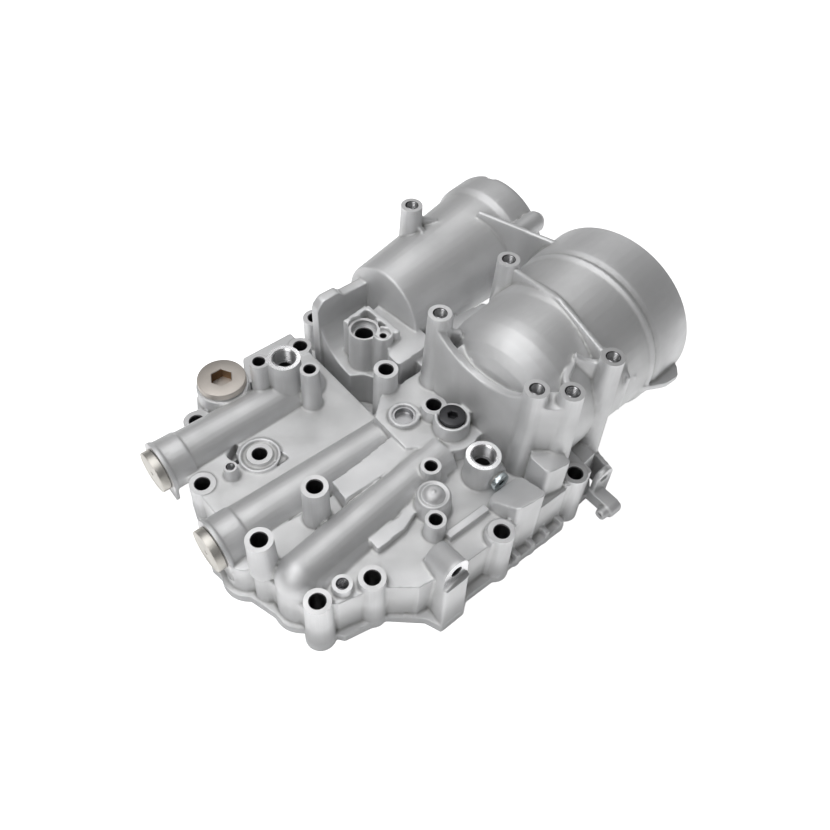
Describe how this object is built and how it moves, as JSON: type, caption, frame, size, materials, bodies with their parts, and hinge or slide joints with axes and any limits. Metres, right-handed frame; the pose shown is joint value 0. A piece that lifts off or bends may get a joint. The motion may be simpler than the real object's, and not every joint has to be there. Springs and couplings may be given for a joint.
{
  "type": "oil filter housing",
  "caption": "Cast oil filter housing with two open filter bowls lying on their sides, valve galleries, bolt columns, threaded posts and screw plugs on one bolting flange.",
  "frame": {"origin": "point of the flange face near the middle of its area, on the rib between the oil chambers", "axes": "+X along the valve galleries, towards the open mouths of the bowls; +Z out of the flange face, up through the bolt columns"},
  "size_m": [0.3941, 0.3114, 0.149],
  "materials": {
    "cast_aluminium": "fine shot-blasted casting, satin, with bright machined faces",
    "valve_steel": "ground steel",
    "spring_steel": "dark drawn wire",
    "plug_aluminium": "turned aluminium, light tool marks",
    "seal_rubber": "matt black rubber",
    "nickel_plug": "pale nickel plating, brownish inside the socket",
    "black_oxide": "black oxide steel, slightly oily",
    "zinc_plug": "bluish bright zinc plating",
    "soft_metal_seal": "annealed copper ring",
    "core_plug_metal": "bright pressed sheet"
  },
  "bodies": {
    "housing_body": {"housing": "cast_aluminium", "relief_valve_seat": "valve_steel", "relief_valve_spring": "spring_steel", "relief_end_plug": "plug_aluminium", "relief_plug_ring": "seal_rubber", "bypass_valve_seat": "valve_steel", "bypass_valve_spring": "spring_steel", "bypass_end_plug": "plug_aluminium", "bypass_plug_ring": "seal_rubber", "large_screw_plug": "nickel_plug", "large_plug_seal": "soft_metal_seal", "black_screw_plug": "black_oxide", "black_plug_seal": "soft_metal_seal", "side_screw_plug": "zinc_plug", "side_plug_seal": "soft_metal_seal", "core_plug": "core_plug_metal"},
    "relief_valve": {"relief_valve_piston": "valve_steel"},
    "bypass_valve": {"bypass_valve_piston": "valve_steel"}
  },
  "joints": [
    {"name": "relief_valve_slide", "type": "slide", "parent": "housing_body", "child": "relief_valve", "axis": [-1, 0, 0], "range_m": [0, 0.008], "stiffness_N_per_m": 8000, "springref_m": -0.00975, "deforming": ["relief_valve_spring"]},
    {"name": "bypass_valve_slide", "type": "slide", "parent": "housing_body", "child": "bypass_valve", "axis": [-1, 0, 0], "range_m": [0, 0.008], "stiffness_N_per_m": 5000, "springref_m": -0.0075, "deforming": ["bypass_valve_spring"]}
  ]
}
